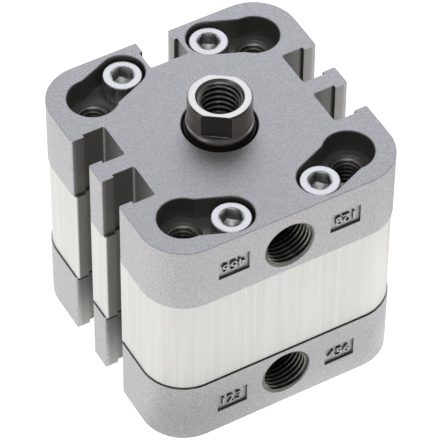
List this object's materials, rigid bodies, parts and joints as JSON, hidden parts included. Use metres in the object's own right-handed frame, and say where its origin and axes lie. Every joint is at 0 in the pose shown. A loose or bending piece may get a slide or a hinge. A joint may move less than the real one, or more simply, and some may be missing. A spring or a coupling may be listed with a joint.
{
  "type": "compact pneumatic cylinder",
  "caption": "Compact square pneumatic cylinder: grey end caps on a slotted barrel, side air ports, corner mounting threads and a sliding rod with female thread and wrench flats.",
  "frame": {"origin": "centre of the rear cap's outer face, on the rod's axis", "axes": "+Z along the rod towards its free end, -Y towards the air ports, +X completes the right-handed frame"},
  "size_m": [0.0492, 0.0492, 0.0558],
  "materials": {
    "cap_casting": "fine blasted grey casting",
    "barrel_aluminium": "satin anodised, brushed along the axis",
    "zinc_screw": "bright zinc plated",
    "rod_steel": "ground stainless steel",
    "black_rubber": "matt black",
    "bush_bronze": "sintered bronze",
    "piston_aluminium": "machined",
    "magnet": "dark grey bonded magnet",
    "guide_plastic": "natural acetal"
  },
  "bodies": {
    "housing": {"front_cap": "cap_casting", "rear_cap": "cap_casting", "barrel": "barrel_aluminium", "front_cap_screws": "zinc_screw", "rear_cap_screws": "zinc_screw", "front_barrel_o_ring": "black_rubber", "rear_barrel_o_ring": "black_rubber", "front_bumper": "black_rubber", "rear_bumper": "black_rubber", "rod_bush": "bush_bronze", "rod_seal": "black_rubber"},
    "piston_seals": {"piston_seal_front": "black_rubber", "piston_seal_rear": "black_rubber", "guide_ring": "guide_plastic"},
    "piston_and_rod": {"piston_rod": "rod_steel", "piston_front_half": "piston_aluminium", "piston_rear_half": "piston_aluminium", "piston_magnet": "magnet", "piston_o_ring": "black_rubber", "piston_washer": "zinc_screw", "piston_screw": "zinc_screw"}
  },
  "joints": [
    {"name": "rod_slide", "type": "slide", "parent": "housing", "child": "piston_seals", "axis": [0, 0, 1], "range_m": [0, 0.005]},
    {"name": "rod_turn", "type": "hinge", "parent": "piston_seals", "child": "piston_and_rod", "pos_m": [0, 0, 0.022], "axis": [0, 0, 1], "continuous": true}
  ]
}
